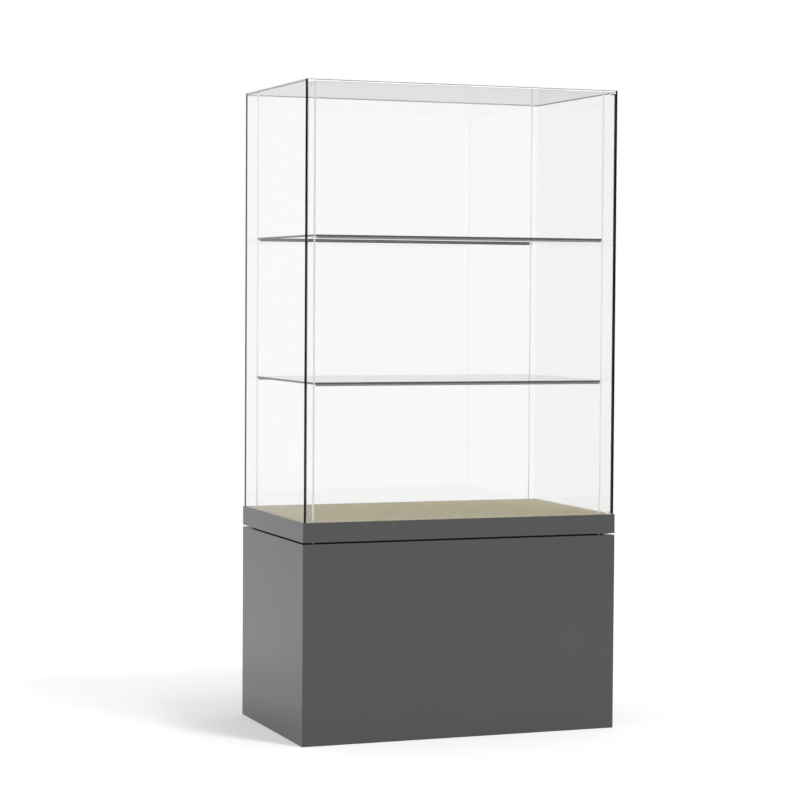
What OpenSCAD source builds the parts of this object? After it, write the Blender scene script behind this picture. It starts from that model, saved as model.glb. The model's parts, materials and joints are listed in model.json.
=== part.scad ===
// Tall pedestal display case: a grey plinth, a shadow gap, a collar with a beige deck, and a glass
// case with a front door and two glass shelves on four thin rods.
// Origin: centre of the footprint, on the floor. Front faces -Y, +Z is up.

/* [Overall] */
// Width of the plinth and of the collar
case_w = 1000; // [700:10:1400]
// Depth of the plinth and of the collar
case_d = 590; // [450:10:800]
// Height of the plinth, from the floor to the shadow gap
plinth_h = 591; // [400:1:800]
// Height of the shadow gap between the plinth and the collar
gap_h = 5; // [4:1:15]
// Height of the collar, its deck included
collar_h = 58; // [45:1:90]
// Height of the glass case above the collar
glass_h = 1283; // [900:1:1600]

/* [Plinth] */
// Thickness of the plinth's boards and doors
board_t = 19; // [16:1:25]
// Joint left round each rear door
door_joint = 3; // [2:0.5:5]
// How far the rear doors are set in from the plinth's rear edge
door_set_in = 3; // [2.5:0.5:6]
// Distance from a rear door's hinge edge to the axis of its pivot pins
pivot_in = 20; // [18:1:30]
// Diameter of the rear doors' pivot pins
pivot_d = 8; // [6:1:9]
// How far each pivot pin stands in its door and in its board
pivot_depth = 10; // [8:1:14]
// Outside diameter of the bushes that the pivot pins turn in
bush_d = 12; // [11:0.5:13]
// Square section of the cleats under the plinth's top board
cleat = 25; // [18:1:40]
// Distance from an inner corner of the plinth to the end of a cleat
cleat_end = 60; // [50:5:120]
// Width of the upright behind the meeting edges of the rear doors
stile_w = 50; // [40:2:80]
// Gap between a closed rear door and the upright
stile_gap = 0.5; // [0.3:0.1:1.5]

/* [Locks] */
// Height of the cam locks above the floor
lock_z = 330; // [150:10:350]
// Distance from a lock's axis to the edge of the upright
lock_off = 25; // [20:1:40]
// Diameter of a lock's barrel
barrel_d = 18; // [16:0.5:20]
// Diameter of the flange round a lock's face
flange_d = 23; // [22:1:30]
// Thickness of that flange
flange_t = 2; // [1:0.5:2.5]
// Diameter of the plug that the key turns
plug_d = 10; // [9:0.5:12]
// Side of the plug's square tail
tail = 6; // [5:0.5:6]
// Thickness of the cam
cam_t = 3; // [2:0.5:4]
// Width of the cam's arm
cam_w = 16; // [12:1:20]
// Length of the cam's arm from the lock's axis
cam_l = 40; // [32:1:45]
// Width across the flats of the nut behind each door
lock_nut_w = 24; // [23:1:28]
// Thickness of that nut
lock_nut_t = 5; // [4:1:8]
// Width of the keyway
keyway_w = 1.6; // [1:0.1:2]

/* [Collar and deck] */
// How far the shadow gap's spacer is set back from the sides
spacer_in = 26; // [15:1:60]
// Thickness of the rails' lip round the deck
lip_t = 3; // [2:0.5:5]
// Thickness of the deck board
deck_t = 10.5; // [8:0.5:19]
// Thickness of the deck's covering
sheet_t = 1.5; // [0.8:0.1:3]
// Thickness of the collar's lower board
under_t = 12; // [9:1:19]
// Width of the two battens inside the collar
batten_w = 40; // [20:5:80]
// Distance of those battens from the middle
batten_x = 160; // [80:10:200]

/* [Case bolts] */
// Diameter of the bolts that tie the collar to the plinth
bolt_d = 8; // [6:1:10]
// Distance of the bolts from the middle, to each side
bolt_x = 260; // [240:10:280]
// Distance of the bolts from the middle, to front and rear
bolt_y = 140; // [90:10:150]
// Width across the flats of the bolt heads and nuts
bolt_hex = 13; // [12:1:17]
// Height of the bolt heads
bolt_head = 5.3; // [4:0.1:7]
// Diameter of the washers and of the nuts' flanges
washer_d = 20; // [18:1:26]
// Thickness of the washers and of the nuts' flanges
washer_t = 2; // [1:0.5:3]
// Height of the nuts above their flanges
bolt_nut = 6.5; // [5:0.5:9]

/* [Glass] */
// Thickness of the glass
glass_t = 6; // [5:0.5:10]
// How far the glass is set in from the collar's faces
glass_in = 3.7; // [3.5:0.1:8]
// Width of the small bevel along each edge of the glass
arris = 0.5; // [0.3:0.1:0.8]
// Joint between the glass door and each side pane
door_side = 2; // [1.8:0.1:4]
// Joint between the glass door and the top pane
door_top = 4; // [3:0.1:6]
// Joint between the glass door and the deck
door_foot = 3; // [2.5:0.1:6]
// Clearance between the door's seal and the right side pane
seal_gap = 0.5; // [0.3:0.1:0.8]
// Distance from the glass door's left edge to its pivot axis
glass_pivot_in = 8; // [7:0.5:20]
// Diameter of the glass door's pivot pins
glass_pin_d = 3; // [2:0.5:3.5]
// How far the pivot pins stand in the glass door
glass_pin_l = 10; // [6:1:16]
// Thickness of the plates that carry the glass door's pins
plate_t = 1.5; // [1:0.1:2]
// Length of those plates
plate_l = 16; // [12:1:16]
// Diameter of the washer under the glass door
foot_washer_d = 6; // [5:0.5:6]
// Width of the stops behind the glass door
stop_w = 12; // [6:1:25]
// Depth of the stops behind the glass door
stop_d = 4; // [3:0.5:6]
// Height of the stops behind the glass door
stop_h = 8; // [7:1:20]

/* [Rods and shelves] */
// Diameter of the rods
post_d = 5; // [4:0.5:8]
// Distance from a side face of the case to the rods' axes
post_side = 39.4; // [32:0.2:90]
// Distance from the front or rear face of the case to the rods' axes
post_face = 28.2; // [26:0.2:60]
// Height of the upper shelf's underside above the floor
shelf_upper_z = 1484.5; // [1250:0.5:1500]
// Height of the lower shelf's underside above the floor
shelf_lower_z = 1055; // [850:0.5:1200]
// Thickness of the shelves
shelf_t = 6; // [5:0.5:10]
// How far the shelves reach past the rods' axes
shelf_over = 2.75; // [1:0.05:5]
// Gap between a rod and the cut corner of a shelf
shelf_gap = 0.9; // [0.5:0.1:2]
// Diameter of the collars that carry the shelves
ring_d = 15; // [13:1:20]
// Height of those collars
ring_h = 5; // [4:0.5:12]
// Height of the bars under the front and rear edges of the shelves
bar_h = 5; // [3:0.5:8]
// Depth of those bars, from front to rear
bar_d = 5; // [3:0.5:5]
// Gap between the end of a bar and the shelf collar beside it
bar_gap = 0.4; // [0.3:0.1:2]
// Thickness of the pads on the rods' upper ends
pad_t = 1; // [0.5:0.1:2]
// Width across the flats of the rods' nuts
post_hex = 8; // [8:0.5:10]
// Height of the rods' nuts
post_nut = 4; // [3:0.5:5]
// Diameter of the rods' washers
post_washer_d = 10; // [10:0.5:12]
// Thickness of the rods' washers
post_washer_t = 1; // [0.5:0.1:1.5]

/* [Hidden] */

// Colours
grey = [0.2, 0.2, 0.2];
core = [0.62, 0.53, 0.4];
beige = [0.72, 0.68, 0.56];
steel = [0.75, 0.76, 0.77];
brass = [0.75, 0.62, 0.35];
black = [0.05, 0.05, 0.05];
clear = [0.85, 0.92, 0.9, 0.3];

// Clearances
run = 0.05;      // radial, between a pin and the bore that it turns in
through = 0.4;   // radial, round a rod or bolt that passes through a board
sunk = 1;        // round and below what stands in a counterbore
seat = 0.2;      // between the deck and the lips round it
fit = 0.1;       // radial, round a fixed barrel
cam_gap = 1;     // between a cam and the upright that it passes behind
barrel_gap = 0.5; // between a cam and the end of its barrel
tail_past = 2;   // how far a plug's tail stands past its cam
keyway_deep = 2;
rod_clear = 1.3; // between a rod and the spacer behind it
cut = 1;         // how far a cutting solid runs past the face that it opens

// Planes, from the middle of the case and from the floor
half_w = case_w / 2;
half_d = case_d / 2;
inner_x = half_w - board_t;
inner_y = half_d - board_t;
top_under = plinth_h - board_t;
collar_z = plinth_h + gap_h;
deck_z = collar_z + collar_h;
board_z = deck_z - sheet_t - deck_t;
under_z = collar_z + under_t;
case_top = deck_z + glass_h;
glass_x = half_w - glass_in;
glass_y = half_d - glass_in;
bay_x = glass_x - glass_t;
bay_y = glass_y - glass_t;
top_z = case_top - glass_t;

// Rear doors
door_y = half_d - door_set_in;
door_in_y = door_y - board_t;
door_z = board_t + door_joint;
door_h = top_under - door_joint - door_z;
door_w = inner_x - door_joint * 1.5;
pivot_x = inner_x - door_joint - pivot_in;
pivot_y = door_y - board_t / 2;
stile_y = door_in_y - stile_gap;
lock_x = stile_w / 2 + lock_off;
cam_y = stile_y - board_t - cam_gap;
barrel_end = cam_y + barrel_gap;

// Glass door
door_glass_l = -bay_x + door_side;
door_glass_r = bay_x - door_side;
door_glass_z = deck_z + door_foot;
door_glass_top = top_z - door_top;
door_mid_y = -glass_y + glass_t / 2;
glass_pivot_x = door_glass_l + glass_pivot_in;

// Rods and shelves
post_x = half_w - post_side;
post_y = half_d - post_face;
post_top = top_z - pad_t;
post_hole = post_d / 2 + through;
sink_r = post_washer_d / 2 + sunk;
sink_h = post_washer_t + post_nut + 2 * sunk;
sink_z = top_under + sink_h;
spacer_x = half_w - spacer_in;
spacer_y = post_y - post_d / 2 - rod_clear;
shelf_x = post_x + shelf_over;
shelf_y = post_y + shelf_over;
shelf_clip = (post_d / 2 + shelf_gap) * sqrt(2) + 2 * shelf_over;

$fn = 64;
SIDES = [-1, 1];

// A box from its low corner to its high corner
module block(low, high) {
  translate(low) cube(high - low);
}

// A rectangle whose corners are cut off
module cut_rectangle(size, corner) {
  x = size[0] / 2;
  y = size[1] / 2;
  polygon([
    [-x + corner, -y], [x - corner, -y], [x, -y + corner], [x, y - corner],
    [x - corner, y], [-x + corner, y], [-x, y - corner], [-x, -y + corner]
  ]);
}

// A pane with a small bevel along each of its edges
module pane(low, high) {
  size = high - low;
  color(clear)
    translate((low + high) / 2)
      intersection() {
        translate([0, 0, -size[2] / 2])
          linear_extrude(size[2]) cut_rectangle([size[0], size[1]], arris);
        rotate([90, 0, 0])
          translate([0, 0, -size[1] / 2])
            linear_extrude(size[1]) cut_rectangle([size[0], size[2]], arris);
        rotate([90, 0, 90])
          translate([0, 0, -size[0] / 2])
            linear_extrude(size[0]) cut_rectangle([size[1], size[2]], arris);
      }
}

// One copy at each of the four corners of a rectangle round the middle
module at_corners(x, y) {
  for (sx = SIDES, sy = SIDES)
    translate([sx * x, sy * y, 0]) children();
}

// A hexagonal prism by its width across the flats
module hexagon(width, height) {
  cylinder(d = width / cos(30), h = height, $fn = 6);
}

// ---- plinth ----

module plinth_front_panel() {
  color(grey)
    linear_extrude(plinth_h)
      polygon([
        [-half_w, -half_d], [half_w, -half_d], [inner_x, -inner_y], [-inner_x, -inner_y]
      ]);
}

module plinth_side_panel(side) {
  color(grey)
    linear_extrude(plinth_h)
      polygon([
        [side * half_w, -half_d], [side * half_w, half_d],
        [side * inner_x, half_d], [side * inner_x, -inner_y]
      ]);
}

// A sunk seat for a pivot bush, in the board that carries it
module bush_seat(x, z) {
  translate([x, pivot_y, z]) cylinder(d = bush_d, h = pivot_depth + cut);
}

module plinth_base_board() {
  color(core)
    difference() {
      block([-inner_x, -inner_y, 0], [inner_x, half_d, board_t]);
      for (side = SIDES) bush_seat(side * pivot_x, board_t - pivot_depth);
    }
}

module plinth_top_board() {
  color(core)
    difference() {
      block([-inner_x, -inner_y, top_under], [inner_x, half_d, plinth_h]);
      for (side = SIDES) bush_seat(side * pivot_x, top_under - cut);
      translate([0, 0, top_under - cut]) {
        at_corners(post_x, post_y) cylinder(r = post_hole, h = board_t + 2 * cut);
        at_corners(post_x, post_y) cylinder(r = sink_r, h = sink_h + cut);
        at_corners(bolt_x, bolt_y) cylinder(r = bolt_d / 2 + through, h = board_t + 2 * cut);
      }
    }
}

// Cleats along the front and the two sides, short of the corners that the rods come down in
module plinth_cleats() {
  front_l = inner_x - cleat_end;
  side_l = inner_y - cleat_end;
  low = top_under - cleat;
  color(core) {
    block([-front_l, -inner_y, low], [front_l, -inner_y + cleat, top_under]);
    block([-inner_x, -side_l, low], [-inner_x + cleat, side_l, top_under]);
    block([inner_x - cleat, -side_l, low], [inner_x, side_l, top_under]);
  }
}

module plinth_rear_stile() {
  color(core)
    block([-stile_w / 2, stile_y - board_t, board_t], [stile_w / 2, stile_y, top_under]);
}

// ---- rear doors ----

module pivot_bushes() {
  color(brass)
    for (side = SIDES, z = [board_t - pivot_depth, top_under])
      translate([side * pivot_x, pivot_y, z])
        difference() {
          cylinder(d = bush_d, h = pivot_depth);
          translate([0, 0, -cut]) cylinder(r = pivot_d / 2 + run, h = pivot_depth + 2 * cut);
        }
}

module plinth_door(side) {
  edge = side * (inner_x - door_joint);
  color(grey)
    difference() {
      block([min(edge, edge - side * door_w), door_in_y, door_z],
            [max(edge, edge - side * door_w), door_y, door_z + door_h]);
      for (z = [door_z - cut, door_z + door_h - pivot_depth])
        translate([side * pivot_x, pivot_y, z]) cylinder(d = pivot_d, h = pivot_depth + cut);
      translate([side * lock_x, door_y + cut, lock_z])
        rotate([90, 0, 0]) cylinder(r = barrel_d / 2 + fit, h = board_t + 2 * cut);
    }
}

module door_pins(side) {
  pin_l = 2 * pivot_depth + door_joint - sunk;
  color(steel)
    for (z = [board_t - pivot_depth + sunk, top_under - door_joint - pivot_depth])
      translate([side * pivot_x, pivot_y, z]) cylinder(d = pivot_d, h = pin_l);
}

// Places a lock's piece, drawn with the key's side at z = 0 and the cam's side above it
module at_lock(side) {
  translate([side * lock_x, door_y + flange_t, lock_z]) rotate([90, 0, 0]) children();
}

module lock_body(side) {
  barrel_l = door_y + flange_t - barrel_end;
  color(steel)
    at_lock(side)
      difference() {
        union() {
          cylinder(d = flange_d, h = flange_t);
          cylinder(d = barrel_d, h = barrel_l);
        }
        translate([0, 0, -cut]) cylinder(r = plug_d / 2 + run, h = barrel_l + 2 * cut);
      }
}

module lock_nut(side) {
  color(brass)
    at_lock(side)
      translate([0, 0, flange_t + board_t])
        difference() {
          hexagon(lock_nut_w, lock_nut_t);
          translate([0, 0, -cut]) cylinder(r = barrel_d / 2 + fit, h = lock_nut_t + 2 * cut);
        }
}

module lock_plug(side) {
  plug_l = door_y + flange_t - barrel_end + barrel_gap;
  color(brass)
    at_lock(side)
      difference() {
        union() {
          cylinder(d = plug_d, h = plug_l);
          translate([-tail / 2, -tail / 2, 0]) cube([tail, tail, plug_l + cam_t + tail_past]);
        }
        translate([-keyway_w / 2, -plug_d / 3, -cut])
          cube([keyway_w, plug_d * 2 / 3, keyway_deep + cut]);
      }
}

// Arm that turns behind the upright: drawn pointing down, its unlocked place
module lock_cam(side) {
  color(steel)
    at_lock(side)
      translate([0, 0, door_y + flange_t - cam_y])
        linear_extrude(cam_t)
          difference() {
            union() {
              circle(d = cam_w);
              translate([-cam_w / 2, -cam_l]) square([cam_w, cam_l]);
            }
            square([tail, tail], center = true);
          }
}

// ---- shadow gap and collar ----

module gap_spacer() {
  color(black)
    difference() {
      block([-spacer_x, -spacer_y, plinth_h], [spacer_x, spacer_y, collar_z]);
      translate([0, 0, plinth_h - cut])
        at_corners(bolt_x, bolt_y) cylinder(r = bolt_d / 2 + through, h = gap_h + 2 * cut);
    }
}

// A mitred rail along X, its outer face on y = 0, with a ledge for the deck behind a thin lip
module collar_rail(length) {
  ledge = collar_h - sheet_t - deck_t;
  color(grey)
    intersection() {
      translate([-length / 2, 0, 0])
        rotate([90, 0, 90])
          linear_extrude(length)
            polygon([
              [0, 0], [board_t, 0], [board_t, ledge], [lip_t, ledge], [lip_t, collar_h], [0, collar_h]
            ]);
      linear_extrude(collar_h)
        polygon([
          [-length / 2, 0], [length / 2, 0],
          [length / 2 - board_t, board_t], [-length / 2 + board_t, board_t]
        ]);
    }
}

// The collar's rail on the side that faces the given way: 0 front, 90 right, 180 rear, 270 left
module rail_facing(turn) {
  across = turn % 180 != 0;
  out = across ? half_w : half_d;
  rotate([0, 0, turn])
    translate([0, -out, collar_z])
      collar_rail(across ? case_d : case_w);
}

module collar_base_board() {
  color(core)
    difference() {
      block([-inner_x, -inner_y, collar_z], [inner_x, inner_y, under_z]);
      translate([0, 0, collar_z - cut]) {
        at_corners(post_x, post_y) cylinder(r = post_hole, h = under_t + 2 * cut);
        at_corners(bolt_x, bolt_y) cylinder(r = bolt_d / 2 + through, h = under_t + 2 * cut);
      }
    }
}

module collar_battens() {
  color(core)
    for (side = SIDES)
      translate([side * batten_x, 0, 0])
        block([-batten_w / 2, -inner_y, under_z], [batten_w / 2, inner_y, board_z]);
}

// One layer of the deck, between the rails' lips, with the rods' holes
module deck_layer(low, thickness) {
  edge_x = half_w - lip_t - seat;
  edge_y = half_d - lip_t - seat;
  difference() {
    block([-edge_x, -edge_y, low], [edge_x, edge_y, low + thickness]);
    translate([0, 0, low - cut])
      at_corners(post_x, post_y) cylinder(r = post_hole, h = thickness + 2 * cut);
  }
}

module deck_board() {
  color(core) deck_layer(board_z, deck_t);
}

module deck_sheet() {
  color(beige) deck_layer(deck_z - sheet_t, sheet_t);
}

// Bolts from inside the plinth up through the spacer into the collar
module case_bolts() {
  grip = under_z + washer_t + bolt_nut - top_under;
  color(steel)
    at_corners(bolt_x, bolt_y)
      translate([0, 0, top_under]) {
        translate([0, 0, -washer_t]) cylinder(d = washer_d, h = washer_t);
        translate([0, 0, -washer_t - bolt_head]) hexagon(bolt_hex, bolt_head);
        cylinder(d = bolt_d, h = grip);
      }
}

module case_nuts() {
  color(steel)
    at_corners(bolt_x, bolt_y)
      translate([0, 0, under_z])
        difference() {
          union() {
            cylinder(d = washer_d, h = washer_t);
            hexagon(bolt_hex, washer_t + bolt_nut);
          }
          translate([0, 0, -cut]) cylinder(r = bolt_d / 2 + run, h = washer_t + bolt_nut + 2 * cut);
        }
}

// ---- rods and shelves ----

module post(side, face) {
  low = sink_z - post_washer_t - post_nut - sunk / 2;
  color(steel)
    translate([side * post_x, face * post_y, low]) cylinder(d = post_d, h = post_top - low);
}

module post_ring(outer_d, height, low) {
  color(steel)
    at_corners(post_x, post_y)
      translate([0, 0, low])
        difference() {
          cylinder(d = outer_d, h = height);
          translate([0, 0, -cut]) cylinder(r = post_d / 2 + run, h = height + 2 * cut);
        }
}

module post_washers() {
  post_ring(post_washer_d, post_washer_t, sink_z - post_washer_t);
}

module post_nuts() {
  color(steel)
    at_corners(post_x, post_y)
      translate([0, 0, sink_z - post_washer_t - post_nut])
        difference() {
          hexagon(post_hex, post_nut);
          translate([0, 0, -cut]) cylinder(r = post_d / 2 + run, h = post_nut + 2 * cut);
        }
}

module post_pads() {
  color(clear)
    at_corners(post_x, post_y)
      translate([0, 0, post_top]) cylinder(d = post_d, h = pad_t);
}

// Bars bonded under a shelf's front and rear edges, between the collars
module shelf_bars(low) {
  x = post_x - ring_d / 2 - bar_gap;
  color(steel)
    for (face = SIDES)
      translate([0, face * post_y, low])
        block([-x, -bar_d / 2, -bar_h], [x, bar_d / 2, 0]);
}

// A shelf on its four collars, its corners cut off past the rods
module shelf(low) {
  color(clear)
    intersection() {
      translate([0, 0, low])
        linear_extrude(shelf_t) cut_rectangle([2 * shelf_x, 2 * shelf_y], shelf_clip);
      translate([0, 0, low + shelf_t / 2])
        rotate([90, 0, 0])
          translate([0, 0, -shelf_y])
            linear_extrude(2 * shelf_y) cut_rectangle([2 * shelf_x, shelf_t], arris);
      translate([0, 0, low + shelf_t / 2])
        rotate([90, 0, 90])
          translate([0, 0, -shelf_x])
            linear_extrude(2 * shelf_x) cut_rectangle([2 * shelf_y, shelf_t], arris);
    }
}

// ---- glass case ----

module side_pane(side) {
  x = side * (glass_x - glass_t / 2);
  pane([x - glass_t / 2, -glass_y, deck_z], [x + glass_t / 2, glass_y, case_top]);
}

module pane_rear() {
  pane([-bay_x, bay_y, deck_z], [bay_x, glass_y, top_z]);
}

module pane_top() {
  pane([-bay_x, -glass_y, top_z], [bay_x, glass_y, case_top]);
}

module glass_door() {
  bore_l = glass_pin_l + sunk;
  color(clear)
    difference() {
      pane([door_glass_l, -glass_y, door_glass_z], [door_glass_r, -bay_y, door_glass_top]);
      for (z = [door_glass_z - cut, door_glass_top - bore_l])
        translate([glass_pivot_x, door_mid_y, z])
          cylinder(r = glass_pin_d / 2 + run, h = bore_l + cut);
    }
}

module glass_door_seal() {
  color(black)
    block([door_glass_r, -glass_y, door_glass_z],
          [bay_x - seal_gap, -bay_y, door_glass_top]);
}

// Small clear blocks that the door's free corners close against
module glass_door_stops() {
  right = door_glass_r - stop_w;
  color(clear)
    for (z = [deck_z, top_z - stop_h])
      block([right, -bay_y, z], [right + stop_w, -bay_y + stop_d, z + stop_h]);
}

// A thin plate with the pin that the glass door turns on, drawn standing on z = 0
module glass_pivot() {
  pin_l = plate_t + glass_pin_l;
  block([-plate_l / 2, -glass_t / 2, 0], [plate_l / 2, glass_t / 2, plate_t]);
  cylinder(d = glass_pin_d, h = pin_l);
}

module glass_door_pivot_bottom() {
  color(steel) translate([glass_pivot_x, door_mid_y, deck_z]) glass_pivot();
}

module glass_door_pivot_top() {
  color(steel) translate([glass_pivot_x, door_mid_y, top_z]) mirror([0, 0, 1]) glass_pivot();
}

module glass_door_washer() {
  color(brass)
    translate([glass_pivot_x, door_mid_y, deck_z + plate_t])
      difference() {
        cylinder(d = foot_washer_d, h = door_foot - plate_t);
        translate([0, 0, -cut]) cylinder(r = glass_pin_d / 2 + run, h = door_foot + 2 * cut);
      }
}

plinth_front_panel();
plinth_side_panel(-1);  // plinth_left_panel
plinth_side_panel(1);  // plinth_right_panel
plinth_base_board();
plinth_top_board();
plinth_cleats();
plinth_rear_stile();
pivot_bushes();
plinth_door(-1);  // plinth_door_left
door_pins(-1);  // door_pins_left
lock_body(-1);  // lock_body_left
lock_nut(-1);  // lock_nut_left
lock_plug(-1);  // lock_plug_left
lock_cam(-1);  // lock_cam_left
plinth_door(1);  // plinth_door_right
door_pins(1);  // door_pins_right
lock_body(1);  // lock_body_right
lock_nut(1);  // lock_nut_right
lock_plug(1);  // lock_plug_right
lock_cam(1);  // lock_cam_right
gap_spacer();
rail_facing(0);  // collar_front_rail
rail_facing(90);  // collar_right_rail
rail_facing(180);  // collar_rear_rail
rail_facing(270);  // collar_left_rail
collar_base_board();
collar_battens();
deck_board();
deck_sheet();
case_bolts();
case_nuts();
post(-1, -1);  // post_front_left
post(1, -1);  // post_front_right
post(-1, 1);  // post_rear_left
post(1, 1);  // post_rear_right
post_nuts();
post_washers();
post_pads();
post_ring(ring_d, ring_h, shelf_upper_z - ring_h);  // shelf_collars_upper
post_ring(ring_d, ring_h, shelf_lower_z - ring_h);  // shelf_collars_lower
shelf_bars(shelf_upper_z);  // shelf_bars_upper
shelf_bars(shelf_lower_z);  // shelf_bars_lower
shelf(shelf_upper_z);  // shelf_upper
shelf(shelf_lower_z);  // shelf_lower
side_pane(-1);  // pane_left
side_pane(1);  // pane_right
pane_rear();
pane_top();
glass_door();
glass_door_seal();
glass_door_stops();
glass_door_pivot_top();
glass_door_pivot_bottom();
glass_door_washer();
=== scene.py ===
"""A tall pedestal display case: grey plinth, shadow gap, collar and beige deck under a glass case."""

import json
import math

import bpy
from mathutils import Matrix, Vector

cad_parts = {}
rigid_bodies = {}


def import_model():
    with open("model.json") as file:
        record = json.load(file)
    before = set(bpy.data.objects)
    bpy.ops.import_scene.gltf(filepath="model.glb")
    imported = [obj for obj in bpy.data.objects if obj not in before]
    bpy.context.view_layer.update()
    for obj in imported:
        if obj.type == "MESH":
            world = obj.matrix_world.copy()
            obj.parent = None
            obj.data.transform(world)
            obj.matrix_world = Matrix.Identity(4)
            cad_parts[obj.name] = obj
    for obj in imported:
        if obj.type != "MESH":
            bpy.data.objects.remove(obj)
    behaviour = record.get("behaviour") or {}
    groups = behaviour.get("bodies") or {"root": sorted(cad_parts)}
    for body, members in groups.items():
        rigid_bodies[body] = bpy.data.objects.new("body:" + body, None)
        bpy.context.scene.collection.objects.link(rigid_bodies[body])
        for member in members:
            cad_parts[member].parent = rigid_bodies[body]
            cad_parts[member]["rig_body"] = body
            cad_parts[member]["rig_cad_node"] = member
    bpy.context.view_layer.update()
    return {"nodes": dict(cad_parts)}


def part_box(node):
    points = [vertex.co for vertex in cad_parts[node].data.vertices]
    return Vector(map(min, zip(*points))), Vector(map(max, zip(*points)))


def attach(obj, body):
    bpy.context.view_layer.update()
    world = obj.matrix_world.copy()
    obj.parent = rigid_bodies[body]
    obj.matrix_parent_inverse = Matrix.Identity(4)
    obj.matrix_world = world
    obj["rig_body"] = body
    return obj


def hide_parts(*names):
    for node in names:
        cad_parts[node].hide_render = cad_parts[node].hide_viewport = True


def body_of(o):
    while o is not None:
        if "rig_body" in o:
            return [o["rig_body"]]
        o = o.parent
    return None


bl_info = {
    "name": "Pedestal Display Case",
    "version": (1, 0, 0),
    "blender": (4, 5, 0),
    "location": "View3D > Sidebar > Display Case",
    "description": "Finishes a glass display case on a lacquered plinth",
    "category": "Object",
}

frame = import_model()

# ---- what the pieces are made of ----

LACQUERED = (
    "plinth_front_panel", "plinth_left_panel", "plinth_right_panel",
    "plinth_door_left", "plinth_door_right",
    "collar_front_rail", "collar_rear_rail", "collar_left_rail", "collar_right_rail",
)
RAW_BOARDS = (
    "plinth_base_board", "plinth_top_board", "plinth_cleats", "plinth_rear_stile",
    "collar_base_board", "collar_battens", "deck_board",
)
BRIGHT_RODS = ("post_front_right", "post_rear_left", "post_rear_right")
SHELF_COLLARS = ("shelf_collars_upper", "shelf_collars_lower")
SHELF_BARS = ("shelf_bars_upper", "shelf_bars_lower")
ZINC = (
    "case_bolts", "case_nuts", "post_nuts", "post_washers", "door_pins_left", "door_pins_right",
    "lock_cam_left", "lock_cam_right",
)
BRASS = ("pivot_bushes", "lock_nut_left", "lock_nut_right")

# Shelf edges: painted shade, a little lighter on the side ends.
SHELF_EDGES = {"-X": "edge_soft_painted_shade", "+X": "edge_soft_painted_shade", "-Y": "edge_grey_painted_shade", "+Y": "edge_grey_painted_shade"}

# Each pane: the body it rides on, the finish of its two large faces, and the finish of its edges
# by the side that they face. An edge that isn't named has the finish of the large faces.
# "bevel" is the pair of small bevels beside the top pane's front edge.
# The edges' colours by side are painted: painted shade on the dark edges, painted light on the pale
# and white ones.
PANES = {
    "pane_left": ("case", "near_side", {"-Y": "edge_dark_painted_shade", "+Y": "edge_dark_painted_shade", "+Z": "edge_pale_painted_light"}),
    "pane_right": ("case", "right_side_painted_shade", {"-Y": "edge_dark_painted_shade", "+Z": "edge_pale_painted_light"}),
    "pane_rear": ("case", "clear", {"-X": "edge_dark_painted_shade", "+X": "edge_open"}),
    "pane_top": ("case", "level", {"-Y": "edge_white_painted_light", "-X": "edge_dim_painted_light", "bevel": "edge_dark_painted_shade"}),
    "glass_door": ("glass_door", "clear", {"+X": "edge_dark_painted_shade"}),
    "shelf_upper": ("case", "level", SHELF_EDGES),
    "shelf_lower": ("case", "level", SHELF_EDGES),
}

# ---- what counts as flat, sharp and near ----

WELD = 0.00001  # corners nearer to each other than this are one
FLAT = math.radians(0.5)  # faces that turn by less than this where they meet are one
SHARP = math.radians(30.0)  # edges that turn by more than this are rounded
ON_PLANE = 0.0001  # a corner nearer than this to a plane lies on it
RIM = 0.001  # a pane's edges and their bevels lie within this of its outside, its bores don't
SQUARE = 0.99  # a face whose normal has more than this along an axis faces that way
SLANT = 0.5  # a bevel's normal has more than this along a pane's thin axis, an edge's has less

# ---- figures of the finishes and the stage that stay as they are ----

EVEN = (1.0, 1.0, 1.0)  # a grain's stretch: the smaller the number, the longer the marks
DRAWN_ALONG_Z = (1.0, 1.0, 0.05)
DRAWN_ALONG_X = (0.05, 1.0, 1.0)
COLOUR_SPAN = (0.35, 0.65)  # the part of a mask over which a colour changes
ROUGHNESS_SPAN = (0.3, 0.7)  # and the part over which a roughness changes
# Level glass's painted shade runs over this span of slant.
LEVEL_SPAN = (0.75, 0.96)  # the slant at which level glass starts to darken, and is darkest
UNBENT = 1.0  # light goes straight on through a face that is glued to the next pane
WHITE = (1.0, 1.0, 1.0, 1.0)
LAMP_HEIGHT = 4.0  # a sun lamp lights the same from any height
SENSOR_WIDTH = 36.0  # millimetres
VIEW_REACH = 300.0  # metres, further than the floor's far corners


# ---- settings ----


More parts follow.
